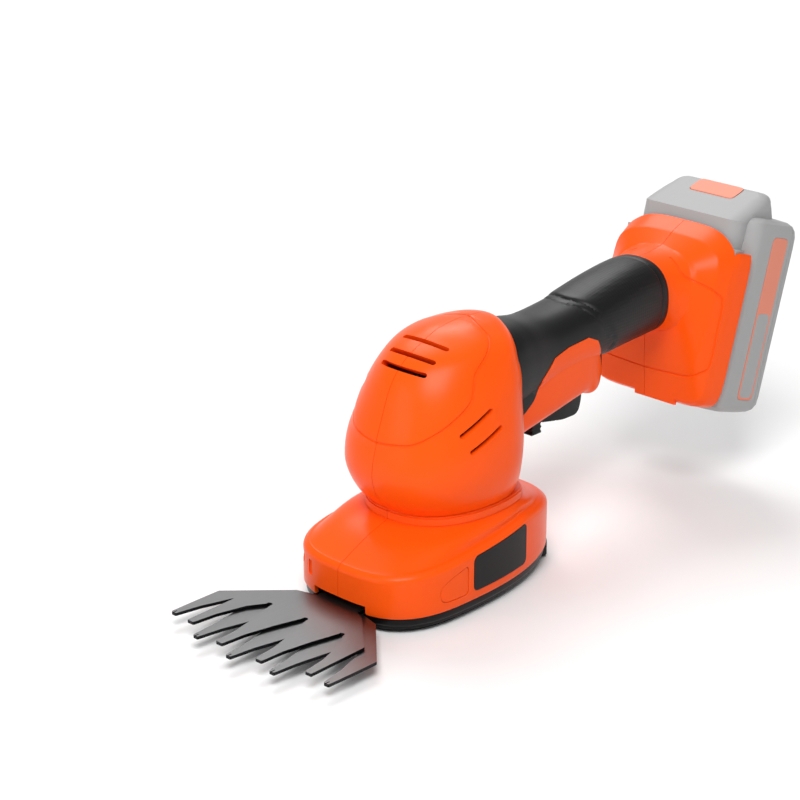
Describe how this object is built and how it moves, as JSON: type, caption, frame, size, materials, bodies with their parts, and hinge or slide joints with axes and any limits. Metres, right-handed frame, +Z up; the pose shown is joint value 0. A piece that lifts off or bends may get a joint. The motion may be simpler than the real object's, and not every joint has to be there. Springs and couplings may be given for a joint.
{
  "type": "cordless grass shears",
  "caption": "Battery grass shears: an upright motor in a round head swings a comb blade over a fixed comb at a low sole; a bridge handle ends in a dock for a slide-on battery pack.",
  "frame": {"origin": "on the ground, in the middle plane, under the rear of the motor head", "axes": "+Z up, blades towards -X, battery pack towards +X, the tool's left side towards -Y"},
  "size_m": [0.3728, 0.1036, 0.151],
  "materials": {
    "housing_plastic": "satin",
    "grip_rubber": "matt",
    "badge_plastic": "satin",
    "black_plastic": "satin",
    "blade_steel": "ground",
    "steel": "satin",
    "bronze": "machined",
    "magnet": "matt",
    "copper_winding": "satin",
    "board_green": "satin",
    "red_lead": "satin",
    "black_lead": "satin",
    "pack_plastic": "satin",
    "pack_accent": "satin",
    "cell_wrap": "satin"
  },
  "bodies": {
    "tool": {"left_housing": "housing_plastic", "right_housing": "housing_plastic", "left_grip": "grip_rubber", "right_grip": "grip_rubber", "badge_plate": "badge_plastic", "housing_screws": "steel", "left_release_spring": "steel", "right_release_spring": "steel", "fixed_blade": "blade_steel", "blade_bolt": "steel", "blade_screws": "steel", "base_plate": "steel", "gear_cover": "steel", "gearbox_screws": "steel", "lower_bush": "bronze", "upper_bush": "bronze", "motor_can": "steel", "motor_cap": "black_plastic", "motor_magnets": "magnet", "trigger_pin": "steel", "trigger_spring": "steel", "switch_body": "black_plastic", "lock_spring": "steel", "control_board": "board_green", "terminal_block": "black_plastic", "terminal_blades": "steel", "supply_leads": "red_lead", "motor_leads": "black_lead"},
    "drive": {"spindle": "steel", "drive_gear": "steel"},
    "rotor": {"rotor_shaft": "steel", "armature": "copper_winding", "pinion": "steel", "fan": "black_plastic"},
    "blade": {"moving_blade": "blade_steel"},
    "trigger": {"trigger": "black_plastic"},
    "lock": {"lock_tab": "black_plastic"},
    "left_button": {"left_release_button": "housing_plastic"},
    "right_button": {"right_release_button": "housing_plastic"},
    "sole": {"sole_cover": "black_plastic"},
    "battery": {"pack_front_shell": "pack_plastic", "pack_rear_shell": "pack_plastic", "pack_cells": "cell_wrap", "pack_board": "board_green", "pack_button_spring": "steel", "pack_label_left": "pack_accent", "pack_label_right": "pack_accent"},
    "pack_latch": {"pack_button": "pack_accent"}
  },
  "joints": [
    {"name": "drive_spin", "type": "hinge", "parent": "tool", "child": "drive", "pos_m": [-0.043, 0, 0.02], "axis": [0, 0, 1], "continuous": true},
    {"name": "rotor_spin", "type": "hinge", "parent": "tool", "child": "rotor", "pos_m": [-0.0142, 0, 0.06], "axis": [0, 0, 1], "continuous": true},
    {"name": "blade_swing", "type": "hinge", "parent": "tool", "child": "blade", "pos_m": [-0.072, 0, 0.0087], "axis": [0, 0, 1], "range_deg": [-6.4, 3.2]},
    {"name": "trigger_pull", "type": "hinge", "parent": "tool", "child": "trigger", "pos_m": [0.044, 0, 0.082], "axis": [0, -1, 0], "range_deg": [0, 7], "stiffness_Nm_per_rad": 0.4, "springref_deg": -8.59, "deforming": ["trigger_spring"]},
    {"name": "lock_slide", "type": "slide", "parent": "tool", "child": "lock", "axis": [-1, 0, 0], "range_m": [0, 0.003], "stiffness_N_per_m": 200, "springref_m": -0.004, "deforming": ["lock_spring"]},
    {"name": "left_button_press", "type": "slide", "parent": "tool", "child": "left_button", "axis": [0, 1, 0], "range_m": [0, 0.0025], "stiffness_N_per_m": 400, "springref_m": -0.003, "deforming": ["left_release_spring"]},
    {"name": "right_button_press", "type": "slide", "parent": "tool", "child": "right_button", "axis": [0, -1, 0], "range_m": [0, 0.0025], "stiffness_N_per_m": 400, "springref_m": -0.003, "deforming": ["right_release_spring"]},
    {"name": "sole_release", "type": "slide", "parent": "tool", "child": "sole", "axis": [0, 0, -1], "range_m": [0, 0.03]},
    {"name": "battery_slide", "type": "slide", "parent": "tool", "child": "battery", "axis": [0.2924, 0, 0.9563], "range_m": [0, 0.095]},
    {"name": "pack_button_press", "type": "slide", "parent": "battery", "child": "pack_latch", "axis": [-0.2924, 0, -0.9563], "range_m": [0, 0.002], "stiffness_N_per_m": 400, "springref_m": -0.003, "deforming": ["pack_button_spring"]}
  ],
  "couplings": [
    {"joint": "rotor_spin", "follows": "drive_spin", "ratio": -5}
  ]
}
